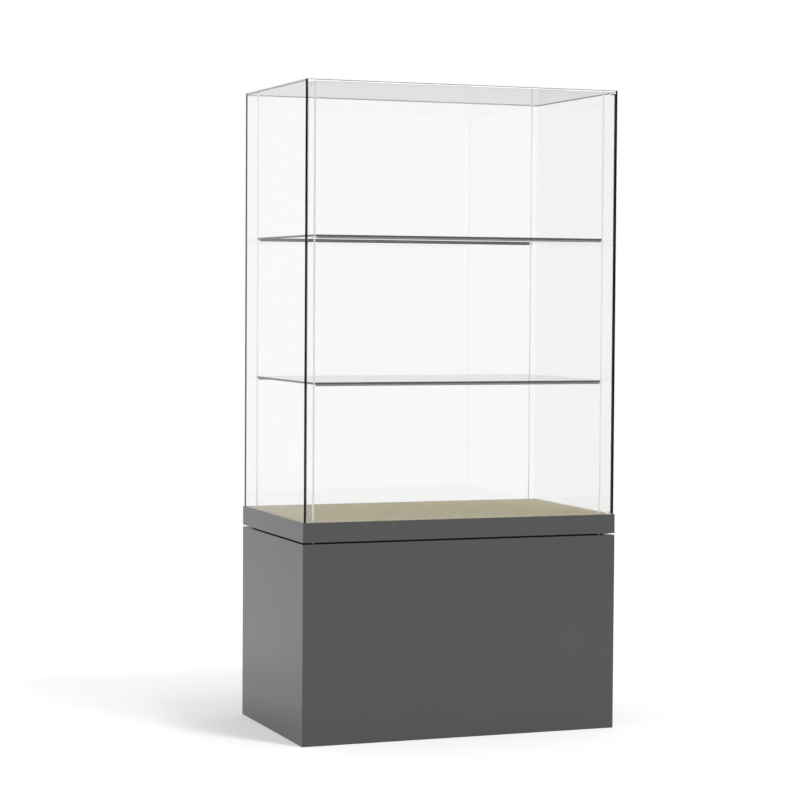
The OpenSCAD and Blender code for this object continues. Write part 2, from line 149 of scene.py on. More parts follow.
class CaseSizes(bpy.types.PropertyGroup):
    """Small sizes that the finish adds."""

    board_round: bpy.props.FloatProperty(
        name="Board edge rounding", description="Radius along the lacquered boards' edges",
        default=0.0008, unit="LENGTH")
    metal_round: bpy.props.FloatProperty(
        name="Metal edge rounding", description="Radius along the turned metal pieces' edges",
        default=0.0004, unit="LENGTH")
    rubber_round: bpy.props.FloatProperty(
        name="Seal edge rounding", description="Radius along the door seal's edges",
        default=0.0002, unit="LENGTH")
    seal_lip: bpy.props.FloatProperty(
        name="Seal lip", description="Thickness of the lip along the door's seal",
        default=0.0012, unit="LENGTH")
    seal_touch: bpy.props.FloatProperty(
        name="Seal lip clearance", description="Gap left between the seal's lip and the side pane",
        default=0.00003, unit="LENGTH")
    top_bevel: bpy.props.FloatProperty(
        name="Top pane bevel", description="How much further its upper front bevel reaches down",
        default=0.0011, unit="LENGTH")
    bead_radius: bpy.props.FloatProperty(
        name="Adhesive bead", description="Radius of the bead in the corners under the top pane",
        default=0.0009, unit="LENGTH")
    bead_start: bpy.props.FloatProperty(
        name="Bead start",
        description="How far behind the door the bead starts along the right pane",
        default=0.025, unit="LENGTH")
    # The strip's dark colour is painted shade.
    painted_shade_strip: bpy.props.FloatProperty(
        name="Dark strip",
        description="Width of the strip behind the left pane's front edge that looks dark",
        default=0.002, unit="LENGTH")
    joint_line: bpy.props.FloatProperty(
        name="Joint line",
        description="Gap at the ends of the rear and top panes, and between the door and its stops",
        default=0.0001, unit="LENGTH")


class CaseColours(bpy.types.PropertyGroup):
    """Colours of the finishes."""

    lacquer: bpy.props.FloatVectorProperty(
        name="Lacquer", description="Plinth and collar", subtype="COLOR", size=3,
        default=(0.053, 0.053, 0.053))
    board: bpy.props.FloatVectorProperty(
        name="Raw board", description="Boards inside", subtype="COLOR", size=3,
        default=(0.33, 0.235, 0.145))
    deck: bpy.props.FloatVectorProperty(
        name="Deck", description="Covering of the deck, and the door's lower pivot",
        subtype="COLOR", size=3, default=(0.346, 0.315, 0.213))
    spacer: bpy.props.FloatVectorProperty(
        name="Spacer", description="Board in the shadow gap", subtype="COLOR", size=3,
        default=(0.012, 0.012, 0.012))
    glass: bpy.props.FloatVectorProperty(
        name="Glass", description="Tint of the glass", subtype="COLOR", size=3,
        default=(0.97, 0.97, 0.97))
    # The right pane's tint is darker than the other panes': painted shade.
    right_glass_painted_shade: bpy.props.FloatVectorProperty(
        name="Right pane", description="Tint of the right side pane", subtype="COLOR", size=3,
        default=(0.912, 0.912, 0.912))
    level_glass: bpy.props.FloatVectorProperty(
        name="Level glass", description="Tint of the top pane and shelves, seen face on",
        subtype="COLOR", size=3, default=(0.95, 0.95, 0.95))
    # Level glass darkens to this where it is seen along its face: painted shade.
    level_glass_painted_shade: bpy.props.FloatVectorProperty(
        name="Level glass, edgewise",
        description="Tint of the top pane and shelves, seen along them",
        subtype="COLOR", size=3, default=(0.02, 0.02, 0.02))
    glass_shade: bpy.props.FloatVectorProperty(
        name="Glass shade", description="Light that each face of the glass lets through",
        subtype="COLOR", size=3, default=(0.82, 0.82, 0.82))
    glass_bend: bpy.props.FloatProperty(
        name="Glass bend", description="Refractive index of the glass", default=1.5, min=1.0)
    side_bend: bpy.props.FloatProperty(
        name="Side pane bend", description="Refractive index of the side panes, which mirror less",
        default=1.15, min=1.0)
    # Dark edges, the dark strip and the front bevels: painted shade.
    edge_dark_painted_shade: bpy.props.FloatVectorProperty(
        name="Dark edge",
        description="Upright edges, the left pane's dark strip and the top pane's front bevels",
        subtype="COLOR", size=3, default=(0.006, 0.006, 0.006))
    # Shelf front and rear edges: painted shade.
    edge_grey_painted_shade: bpy.props.FloatVectorProperty(
        name="Shelf edge", description="Front and rear edges of the shelves", subtype="COLOR",
        size=3, default=(0.012, 0.012, 0.012))
    # Shelf side edges, a little lighter than the front and rear: painted shade.
    edge_soft_painted_shade: bpy.props.FloatVectorProperty(
        name="Shelf end", description="Side edges of the shelves", subtype="COLOR", size=3,
        default=(0.05, 0.05, 0.05))
    # Pale upper edges of the side panes: painted light.
    edge_pale_painted_light: bpy.props.FloatVectorProperty(
        name="Pane top edge", description="Upper edges of the side panes", subtype="COLOR", size=3,
        default=(0.9, 0.9, 0.9))
    # White front edge of the top pane: painted light.
    edge_white_painted_light: bpy.props.FloatVectorProperty(
        name="Top pane edge", description="Front edge of the top pane", subtype="COLOR", size=3,
        default=(0.9, 0.9, 0.9))
    # Grey left end of the top pane: dimmer painted light.
    edge_dim_painted_light: bpy.props.FloatVectorProperty(
        name="Top pane end", description="Left end of the top pane", subtype="COLOR", size=3,
        default=(0.52, 0.52, 0.52))
    bead: bpy.props.FloatVectorProperty(
        name="Adhesive bead", description="Bead in the corners under the top pane",
        subtype="COLOR", size=3, default=(0.3, 0.3, 0.305))
    shelf_bar: bpy.props.FloatVectorProperty(
        name="Shelf bar", description="Front bars under the shelves", subtype="COLOR", size=3,
        default=(0.23, 0.23, 0.235))
    # The rear bars are set darker than the front bars: painted shade.
    rear_bar_painted_shade: bpy.props.FloatVectorProperty(
        name="Rear shelf bar", description="Rear bars under the shelves", subtype="COLOR", size=3,
        default=(0.07, 0.07, 0.072))
    steel: bpy.props.FloatVectorProperty(
        name="Steel", description="Rods and shelf collars", subtype="COLOR", size=3,
        default=(0.87, 0.88, 0.89))
    # The front left rod is set darker than the other rods: painted shade.
    near_steel_painted_shade: bpy.props.FloatVectorProperty(
        name="Near rod", description="Front left rod, which mirrors the darker side of the studio",
        subtype="COLOR", size=3, default=(0.72, 0.73, 0.74))
    zinc: bpy.props.FloatVectorProperty(
        name="Zinc", description="Bolts, nuts, pins and locks", subtype="COLOR", size=3,
        default=(0.55, 0.57, 0.6))
    brass: bpy.props.FloatVectorProperty(
        name="Brass", description="Bushes and lock nuts", subtype="COLOR", size=3,
        default=(0.7, 0.52, 0.24))
    seal: bpy.props.FloatVectorProperty(
        name="Seal", description="Seal along the door's free edge", subtype="COLOR", size=3,
        default=(0.008, 0.008, 0.008))
    nylon: bpy.props.FloatVectorProperty(
        name="Nylon", description="Washer under the door", subtype="COLOR", size=3,
        default=(0.7, 0.7, 0.68))
    pale_plastic: bpy.props.FloatVectorProperty(
        name="Pale plastic", description="Upper pivot, rods' pads and door's stops",
        subtype="COLOR", size=3, default=(0.88, 0.88, 0.88))


class CaseStage(bpy.types.PropertyGroup):
    """Camera, light and floor."""

    camera_place: bpy.props.FloatVectorProperty(
        name="Camera place", description="Where the camera stands", subtype="TRANSLATION", size=3,
        unit="LENGTH", default=(-2.729, -6.930, 1.325))
    camera_yaw: bpy.props.FloatProperty(
        name="Camera yaw", description="Turn from straight at the front, to the right",
        default=math.radians(20.849), subtype="ANGLE", unit="ROTATION")
    camera_pitch: bpy.props.FloatProperty(
        name="Camera pitch", description="Tilt above the horizon",
        default=math.radians(-2.551), subtype="ANGLE", unit="ROTATION")
    camera_roll: bpy.props.FloatProperty(
        name="Camera roll", description="Turn about the line of sight",
        default=math.radians(0.371), subtype="ANGLE", unit="ROTATION")
    focal_length: bpy.props.FloatProperty(
        name="Focal length", description="Lens on a 36 mm sensor, in millimetres",
        default=108.99, unit="CAMERA")
    sun_from: bpy.props.FloatVectorProperty(
        name="Sun from", description="Direction from the case to the main lamp",
        subtype="DIRECTION", size=3, default=(0.291, -0.442, 0.848))
    sun_strength: bpy.props.FloatProperty(
        name="Sun strength", description="Strength of the main lamp", default=1.5, min=0.0)
    sun_softness: bpy.props.FloatProperty(
        name="Sun softness", description="Angle that the main lamp covers",
        default=math.radians(9.0), subtype="ANGLE", unit="ROTATION")
    ambient: bpy.props.FloatProperty(
        name="Ambient light", description="Strength of the light from all round", default=0.75,
        min=0.0)
    floor_size: bpy.props.FloatProperty(
        name="Floor size", description="Side of the floor", default=120.0, unit="LENGTH")
    floor_drop: bpy.props.FloatProperty(
        name="Floor drop", description="How far the floor lies under the case",
        default=0.0002, unit="LENGTH")
    floor_colour: bpy.props.FloatVectorProperty(
        name="Floor colour", description="Colour of the studio floor", subtype="COLOR", size=3,
        default=(0.98, 0.98, 0.98))
    floor_lift: bpy.props.FloatProperty(
        name="Floor lift", description="Share of plain white that lightens the floor's shadow",
        default=0.32, min=0.0, max=1.0, subtype="FACTOR")
    floor_near: bpy.props.FloatProperty(
        name="Near floor",
        description="Distance from the case where the floor starts to turn plain white",
        default=3.0, unit="LENGTH")
    floor_far: bpy.props.FloatProperty(
        name="Far floor", description="Distance from the case where the floor is plain white",
        default=6.0, unit="LENGTH")


# ---- mesh helpers ----


def select_only(piece):
    bpy.ops.object.select_all(action="DESELECT")
    piece.select_set(True)
    bpy.context.view_layer.objects.active = piece


def edit_whole(piece):
    """Opens a piece for editing, with all of it selected."""
    select_only(piece)
    bpy.ops.object.mode_set(mode="EDIT")
    bpy.ops.mesh.select_all(action="SELECT")


def edit_some(piece, kind, wanted):
    """Opens a piece for editing, with only those corners (VERT) or faces (FACE) that are wanted."""
    select_only(piece)
    bpy.ops.object.mode_set(mode="EDIT")
    bpy.ops.mesh.select_mode(type=kind)
    bpy.ops.mesh.select_all(action="DESELECT")
    bpy.ops.object.mode_set(mode="OBJECT")
    for part in piece.data.vertices if kind == "VERT" else piece.data.polygons:
        part.select = wanted(part)
    bpy.ops.object.mode_set(mode="EDIT")


def end_edit():
    bpy.ops.object.mode_set(mode="OBJECT")


def cut_across(piece, y):
    """Cuts a piece's faces along a plane across Y. The piece stays whole."""
    edit_whole(piece)
    bpy.ops.mesh.bisect(plane_co=(0, y, 0), plane_no=(0, 1, 0))
    end_edit()


def cleaned_copy(node):
    """A new piece with a node's shape: its own mesh, joined up and with flat faces whole."""
    select_only(frame["nodes"][node])
    bpy.ops.object.duplicate(linked=False)
    piece = bpy.context.view_layer.objects.active
    piece.name = node + "_piece"
    piece.data.name = node + "_piece"
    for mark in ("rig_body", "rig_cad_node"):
        if mark in piece:
            del piece[mark]
    bpy.ops.object.parent_clear(type="CLEAR_KEEP_TRANSFORM")
    piece.data.materials.clear()
    edit_whole(piece)
    bpy.ops.mesh.remove_doubles(threshold=WELD)
    bpy.ops.mesh.dissolve_limited(angle_limit=FLAT)
    end_edit()
    return piece


def round_edges(piece, radius):
    """Rounds a piece's sharp edges for good, and shades the round ones smooth."""
    select_only(piece)
    bevel = piece.modifiers.new("Rounded edges", "BEVEL")
    bevel.width = radius
    bevel.segments = 2
    bevel.limit_method = "ANGLE"
    bevel.angle_limit = SHARP
    bevel.use_clamp_overlap = True
    bpy.ops.object.modifier_apply(modifier=bevel.name)
    bpy.ops.object.shade_smooth_by_angle(angle=SHARP)
    flat = piece.modifiers.new("Flat faces stay flat", "WEIGHTED_NORMAL")
    flat.keep_sharp = True
    bpy.ops.object.modifier_apply(modifier=flat.name)


def stand_for(piece, node):
    """The piece rides where the node rides, and is shown instead of it."""
    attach(piece, body_of(frame["nodes"][node])[0])
    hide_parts(node)


def finish_nodes(nodes, material):
    """Gives CAD nodes that stay their finish."""
    for node in nodes:
        mesh = frame["nodes"][node].data
        mesh.materials.clear()
        mesh.materials.append(material)


def rounded_pieces(nodes, radius, material):
    """Copies of some nodes, with rounded edges and one finish, that stand for them."""
    for node in nodes:
        piece = cleaned_copy(node)
        round_edges(piece, radius)
        piece.data.materials.append(material)
        stand_for(piece, node)


# ---- material helpers ----


def new_material(name):
    material = bpy.data.materials.new(name)
    material.use_nodes = True
    return material, material.node_tree.nodes, material.node_tree.links


def rgba(colour):
    return (*colour, 1.0)


def shaded(colour, factor):
    return tuple(min(1.0, part * factor) for part in colour)


def fine_grain_group():
    """Two sizes of noise on Object coordinates, stretched by a vector, centred on 0.5."""
    name = "Fine grain"
    if name in bpy.data.node_groups:
        return bpy.data.node_groups[name]
    group = bpy.data.node_groups.new(name, "ShaderNodeTree")
    sockets = group.interface
    sockets.new_socket("Stretch", in_out="INPUT", socket_type="NodeSocketVector")
    for label in ("Fine scale", "Broad scale"):
        sockets.new_socket(label, in_out="INPUT", socket_type="NodeSocketFloat")
    for label in ("Fine", "Broad"):
        sockets.new_socket(label, in_out="OUTPUT", socket_type="NodeSocketFloat")
    nodes, links = group.nodes, group.links
    given = nodes.new("NodeGroupInput")
    result = nodes.new("NodeGroupOutput")
    place = nodes.new("ShaderNodeTexCoord")
    stretched = nodes.new("ShaderNodeVectorMath")
    stretched.operation = "MULTIPLY"
    links.new(place.outputs["Object"], stretched.inputs[0])
    links.new(given.outputs["Stretch"], stretched.inputs[1])
    for label, detail in (("Fine", 2.0), ("Broad", 3.0)):
        noise = nodes.new("ShaderNodeTexNoise")
        noise.inputs["Detail"].default_value = detail
        links.new(stretched.outputs[0], noise.inputs["Vector"])
        links.new(given.outputs[label + " scale"], noise.inputs["Scale"])
        links.new(noise.outputs["Fac"], result.inputs[label])
    return group


def add_grain(nodes, fine, broad, stretch=EVEN):
    grain = nodes.new("ShaderNodeGroup")
    grain.node_tree = fine_grain_group()
    grain.inputs["Stretch"].default_value = stretch
    grain.inputs["Fine scale"].default_value = fine
    grain.inputs["Broad scale"].default_value = broad
    return grain


def colour_ramp(nodes, links, mask, span, low, high):
    """A colour that runs from low to high as the mask runs over the span."""
    ramp = nodes.new("ShaderNodeValToRGB")
    for stop, position, colour in zip(ramp.color_ramp.elements, span, (low, high)):
        stop.position = position
        stop.color = rgba(colour)
    links.new(mask, ramp.inputs["Fac"])
    return ramp.outputs["Color"]


def vary_colour(nodes, links, shader, mask, colour, low, high):
    """Base Color runs from low times the colour to high times the colour."""
    varied = colour_ramp(nodes, links, mask, COLOUR_SPAN, shaded(colour, low), shaded(colour, high))
    links.new(varied, shader.inputs["Base Color"])


def vary_roughness(nodes, links, shader, mask, low, high):
    spread = nodes.new("ShaderNodeMapRange")
    spread.inputs["From Min"].default_value = ROUGHNESS_SPAN[0]
    spread.inputs["From Max"].default_value = ROUGHNESS_SPAN[1]
    spread.inputs["To Min"].default_value = low
    spread.inputs["To Max"].default_value = high
    links.new(mask, spread.inputs["Value"])
    links.new(spread.outputs["Result"], shader.inputs["Roughness"])


def add_bump(nodes, links, shader, height, strength, distance):
    bump = nodes.new("ShaderNodeBump")
    bump.inputs["Strength"].default_value = strength
    bump.inputs["Distance"].default_value = distance
    links.new(height, bump.inputs["Height"])
    links.new(bump.outputs["Normal"], shader.inputs["Normal"])


# ---- the finishes ----


def lacquer():
    """Satin sprayed lacquer: nearly even, with a faint orange peel."""
    material, nodes, links = new_material("grey_lacquer")
    shader = nodes["Principled BSDF"]
    colour = bpy.context.scene.case_colours.lacquer
    grain = add_grain(nodes, fine=420.0, broad=2.5)
    vary_colour(nodes, links, shader, grain.outputs["Broad"], colour, low=0.97, high=1.03)
    vary_roughness(nodes, links, shader, grain.outputs["Broad"], low=0.23, high=0.27)
    add_bump(nodes, links, shader, grain.outputs["Fine"], strength=0.05, distance=0.0002)
    return material


def raw_board():
    """Fibre board: pale brown, matt, speckled."""
    material, nodes, links = new_material("raw_board")
    shader = nodes["Principled BSDF"]
    colour = bpy.context.scene.case_colours.board
    grain = add_grain(nodes, fine=700.0, broad=9.0)
    vary_colour(nodes, links, shader, grain.outputs["Fine"], colour, low=0.8, high=1.15)
    vary_roughness(nodes, links, shader, grain.outputs["Broad"], low=0.75, high=0.9)
    add_bump(nodes, links, shader, grain.outputs["Fine"], strength=0.25, distance=0.0003)
    return material


def spacer_board():
    """Black board, nearly matt."""
    material, nodes, links = new_material("black_spacer")
    shader = nodes["Principled BSDF"]
    colour = bpy.context.scene.case_colours.spacer
    grain = add_grain(nodes, fine=800.0, broad=8.0)
    vary_colour(nodes, links, shader, grain.outputs["Fine"], colour, low=0.8, high=1.2)
    vary_roughness(nodes, links, shader, grain.outputs["Broad"], low=0.6, high=0.75)
    return material


def deck_covering():
    """Beige covering with a fine linen weave."""
    material, nodes, links = new_material("beige_deck")
    shader = nodes["Principled BSDF"]
    shader.inputs["Specular IOR Level"].default_value = 0.0
    colour = bpy.context.scene.case_colours.deck
    place = nodes.new("ShaderNodeTexCoord")
    weave = nodes.new("ShaderNodeMath")
    weave.operation = "ADD"
    for entry, direction in enumerate(("X", "Y")):
        threads = nodes.new("ShaderNodeTexWave")
        threads.bands_direction = direction
        threads.inputs["Scale"].default_value = 260.0
        threads.inputs["Distortion"].default_value = 0.6
        threads.inputs["Detail"].default_value = 1.0
        links.new(place.outputs["Object"], threads.inputs["Vector"])
        links.new(threads.outputs["Fac"], weave.inputs[entry])
    grain = add_grain(nodes, fine=520.0, broad=5.0)
    vary_colour(nodes, links, shader, grain.outputs["Fine"], colour, low=0.95, high=1.05)
    vary_roughness(nodes, links, shader, grain.outputs["Broad"], low=0.62, high=0.7)
    add_bump(nodes, links, shader, weave.outputs[0], strength=0.12, distance=0.0002)
    return material


def glass(name, tint, bend):
    """Clear glass whose faces let the lamp's light through a little dimmed."""
    material, nodes, links = new_material(name)
    shader = nodes["Principled BSDF"]
    shader.inputs["Base Color"].default_value = rgba(tint)
    shader.inputs["Roughness"].default_value = 0.0
    shader.inputs["IOR"].default_value = bend
    shader.inputs["Transmission Weight"].default_value = 1.0
    open_side = nodes.new("ShaderNodeBsdfTransparent")
    open_side.inputs["Color"].default_value = rgba(bpy.context.scene.case_colours.glass_shade)
    path = nodes.new("ShaderNodeLightPath")
    mix = nodes.new("ShaderNodeMixShader")
    links.new(path.outputs["Is Shadow Ray"], mix.inputs["Fac"])
    links.new(shader.outputs["BSDF"], mix.inputs[1])
    links.new(open_side.outputs["BSDF"], mix.inputs[2])
    links.new(mix.outputs["Shader"], nodes["Material Output"].inputs["Surface"])
    return material


def level_glass(name, face_on, edgewise, bend):
    """Glass whose tint darkens where it is seen along its face: painted shade in place of a darker
    reflection.
    """
    material = glass(name, face_on, bend)
    nodes, links = material.node_tree.nodes, material.node_tree.links
    slant = nodes.new("ShaderNodeLayerWeight")
    tint = colour_ramp(nodes, links, slant.outputs["Facing"], LEVEL_SPAN, face_on, edgewise)
    links.new(tint, nodes["Principled BSDF"].inputs["Base Color"])
    return material


def glass_edge(name, colour, gloss):
    """Ground glass edge, seen as a band along the pane, its colour painted shade on dark edges and
    painted light on pale ones.
    """
    material, nodes, links = new_material(name)
    shader = nodes["Principled BSDF"]
    shader.inputs["Specular IOR Level"].default_value = gloss
    grain = add_grain(nodes, fine=1200.0, broad=20.0)
    vary_colour(nodes, links, shader, grain.outputs["Broad"], colour, low=0.9, high=1.1)
    vary_roughness(nodes, links, shader, grain.outputs["Fine"], low=0.28, high=0.4)
    return material


def metal(name, colour, roughness, bump, stretch=EVEN):
    """Bare or plated metal, with its marks drawn out along the axis that the stretch shrinks."""
    material, nodes, links = new_material(name)
    shader = nodes["Principled BSDF"]
    shader.inputs["Metallic"].default_value = 1.0
    grain = add_grain(nodes, fine=1500.0, broad=30.0, stretch=stretch)
    vary_colour(nodes, links, shader, grain.outputs["Broad"], colour, low=0.95, high=1.05)
    vary_roughness(
        nodes, links, shader, grain.outputs["Fine"], low=roughness * 0.85, high=roughness * 1.15)
    add_bump(nodes, links, shader, grain.outputs["Fine"], strength=bump, distance=0.0001)
    return material


def soft_material(name, colour, roughness):
    """Rubber or moulded plastic with a fine matt texture."""
    material, nodes, links = new_material(name)
    shader = nodes["Principled BSDF"]
    grain = add_grain(nodes, fine=1400.0, broad=40.0)
    vary_colour(nodes, links, shader, grain.outputs["Broad"], colour, low=0.9, high=1.1)
    vary_roughness(
        nodes, links, shader, grain.outputs["Fine"], low=roughness * 0.9, high=roughness * 1.1)
    add_bump(nodes, links, shader, grain.outputs["Fine"], strength=0.2, distance=0.0001)
    return material


# ---- the pieces ----


class CASE_OT_lacquered_boards(bpy.types.Operator):
    """Rounds the edges of the lacquered panels, doors and rails."""

    bl_idname = "case.lacquered_boards"
    bl_label = "Lacquered boards"

    def execute(self, context):
        rounded_pieces(LACQUERED, context.scene.case_sizes.board_round, lacquer())
        return {"FINISHED"}


class CASE_OT_raw_boards(bpy.types.Operator):
    """Finishes the boards that stay out of sight, and the spacer."""

    bl_idname = "case.raw_boards"
    bl_label = "Raw boards and spacer"

    def execute(self, context):
        finish_nodes(RAW_BOARDS, raw_board())
        finish_nodes(("gap_spacer",), spacer_board())
        return {"FINISHED"}


class CASE_OT_deck(bpy.types.Operator):
    """Finishes the deck's covering."""

    bl_idname = "case.deck"
    bl_label = "Deck"

    def execute(self, context):
        finish_nodes(("deck_sheet",), deck_covering())
        return {"FINISHED"}


class CASE_OT_glass(bpy.types.Operator):
    """Makes the panes, the door and the shelves, each with its own edges."""

    bl_idname = "case.glass"
    bl_label = "Glass"

    def execute(self, context):
        sizes = context.scene.case_sizes
        finishes = self.make_finishes(context.scene.case_colours)
        for node, (body, sheet, edges) in PANES.items():
            piece = cleaned_copy(node)
            low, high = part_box(node)
            slots = {}
            for finish in (sheet, *edges.values()):
                if finish not in slots:
                    slots[finish] = len(piece.data.materials)
                    piece.data.materials.append(finishes[finish])
            if node in ("pane_rear", "pane_top"):
                self.leave_joints(piece, sizes.joint_line)
            painted_shade_before = low[1]
            if node == "pane_left":
                painted_shade_before += sizes.painted_shade_strip
                cut_across(piece, painted_shade_before)
            for face in piece.data.polygons:
                finish = self.face_finish(face, low, high, sheet, edges, painted_shade_before)
                face.material_index = slots[finish]
            if node == "pane_top":
                self.widen_bevel(piece, sizes.top_bevel)
            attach(piece, body)
            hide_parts(node)
        return {"FINISHED"}

    def make_finishes(self, colours):
        level = level_glass(
            "level_glass", colours.level_glass, colours.level_glass_painted_shade, colours.glass_bend)
        return {
            "clear": glass("clear_glass", colours.glass, colours.glass_bend),
            "near_side": glass("near_glass", colours.glass, colours.side_bend),
            # The right pane's darker tint is painted shade.
            "right_side_painted_shade": glass("right_glass_painted_shade", colours.right_glass_painted_shade, colours.side_bend),
            "level": level,
            "edge_open": glass("joined_edge", colours.glass, UNBENT),
            # Edge finishes: painted shade on the dark, grey and shelf end ones, painted light on the
            # pale, white and top end ones.
            "edge_dark_painted_shade": glass_edge("dark_edge_painted_shade", colours.edge_dark_painted_shade, gloss=0.05),
            "edge_grey_painted_shade": glass_edge("shelf_edge_painted_shade", colours.edge_grey_painted_shade, gloss=0.3),
            "edge_soft_painted_shade": glass_edge("shelf_end_painted_shade", colours.edge_soft_painted_shade, gloss=0.3),
            "edge_pale_painted_light": glass_edge("pale_edge_painted_light", colours.edge_pale_painted_light, gloss=0.3),
            "edge_white_painted_light": glass_edge("white_edge_painted_light", colours.edge_white_painted_light, gloss=0.3),
            "edge_dim_painted_light": glass_edge("top_end_painted_light", colours.edge_dim_painted_light, gloss=0.3),
        }

    def face_finish(self, face, low, high, sheet, edges, painted_shade_before):
        """The finish of one face of a pane, from where it lies and the way it faces."""
        thin = min(range(3), key=lambda axis: high[axis] - low[axis])
        if abs(face.normal[thin]) > SQUARE:
            # Faces in the left pane's strip behind its front edge take the dark edge colour: painted
            # shade.
            return "edge_dark_painted_shade" if face.center.y < painted_shade_before else sheet
        across = max({0, 1, 2} - {thin}, key=lambda axis: abs(face.normal[axis]))
        outwards = face.normal[across] > 0
        outer = high[across] if outwards else low[across]
        if abs(face.center[across] - outer) > RIM:
            return sheet
        side = ("+" if outwards else "-") + "XYZ"[across]
        if side == "-Y" and "bevel" in edges and abs(face.normal[thin]) > SLANT:
            side = "bevel"
        return edges.get(side, sheet)

    def widen_bevel(self, piece, drop):
        """Lets the top pane's upper front bevel reach further down its front edge."""
        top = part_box("pane_top")[1][2]
        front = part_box("pane_top")[0][1]

        def at_bevel_foot(corner):
            return ON_PLANE < top - corner.co.z < RIM and abs(corner.co.y - front) < ON_PLANE

        edit_some(piece, "VERT", at_bevel_foot)
        bpy.ops.transform.translate(value=(0, 0, -drop))
        end_edit()

    def leave_joints(self, piece, depth):
        """Shortens a pane a little at both ends, for the adhesive between it and the sides."""
        width = piece.dimensions.x
        edit_whole(piece)
        bpy.ops.transform.resize(value=(1 - 2 * depth / width, 1, 1), center_override=(0, 0, 0))
        end_edit()


class CASE_OT_bead(bpy.types.Operator):
    """Lays the bead of adhesive under the top pane, along the rear pane and the right pane."""

    bl_idname = "case.bead"
    bl_label = "Adhesive bead"

    def execute(self, context):
        sizes = context.scene.case_sizes
        radius = sizes.bead_radius
        top_low, top_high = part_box("pane_top")
        left, right = top_low[0] + radius, top_high[0] - radius
        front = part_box("glass_door")[1][1] + sizes.bead_start
        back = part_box("pane_rear")[0][1] - radius
        bpy.ops.mesh.primitive_plane_add(
            size=1.0, location=((left + right) / 2, (front + back) / 2, top_low[2] - radius))
        bead = bpy.context.view_layer.objects.active
        bead.name = "top_pane_bead"
        bead.scale = (right - left, back - front, 1.0)
        bpy.ops.object.transform_apply(location=True, rotation=True, scale=True)
        # Without its front left corner, only the square's rear and right edges are left.
        edit_some(bead, "VERT", lambda corner: corner.co.y < 0 and corner.co.x < 0)
        bpy.ops.mesh.delete(type="VERT")
        end_edit()
        bpy.ops.object.convert(target="CURVE")
        bead.data.bevel_depth = radius
        bead.data.bevel_resolution = 2
        bead.data.use_fill_caps = True
        bpy.ops.object.convert(target="MESH")
        bead.data.materials.append(
            soft_material("adhesive", context.scene.case_colours.bead, roughness=0.5))
        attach(bead, "case")
        return {"FINISHED"}


class CASE_OT_rods(bpy.types.Operator):
    """Finishes the rods, the shelf collars and the bars under the shelves."""

    bl_idname = "case.rods"
    bl_label = "Rods, shelf collars and bars"

    def execute(self, context):
        colours = context.scene.case_colours
        rounding = context.scene.case_sizes.metal_round
        steel = metal(
            "satin_steel", colours.steel, roughness=0.28, bump=0.03, stretch=DRAWN_ALONG_Z)
        # The front left rod's steel is set darker than the others': painted shade.
        near_steel_painted_shade = metal(
            "near_steel_painted_shade", colours.near_steel_painted_shade, roughness=0.28, bump=0.03, stretch=DRAWN_ALONG_Z)
        finish_nodes(BRIGHT_RODS, steel)
        finish_nodes(("post_front_left",), near_steel_painted_shade)
        rounded_pieces(SHELF_COLLARS, rounding, steel)
        front_bar = metal(
            "front_bar", colours.shelf_bar, roughness=0.4, bump=0.03, stretch=DRAWN_ALONG_X)
        rear_bar_painted_shade = metal(
            "rear_bar_painted_shade", colours.rear_bar_painted_shade, roughness=0.4, bump=0.03, stretch=DRAWN_ALONG_X)
        for node in SHELF_BARS:
            piece = cleaned_copy(node)
            round_edges(piece, rounding)
            piece.data.materials.append(front_bar)
            piece.data.materials.append(rear_bar_painted_shade)
            # The rear bars lie behind the case's middle, where Y is 0, and take the darker colour:
            # painted shade.
            for face in piece.data.polygons:
                face.material_index = 1 if face.center.y > 0 else 0
            stand_for(piece, node)
        return {"FINISHED"}


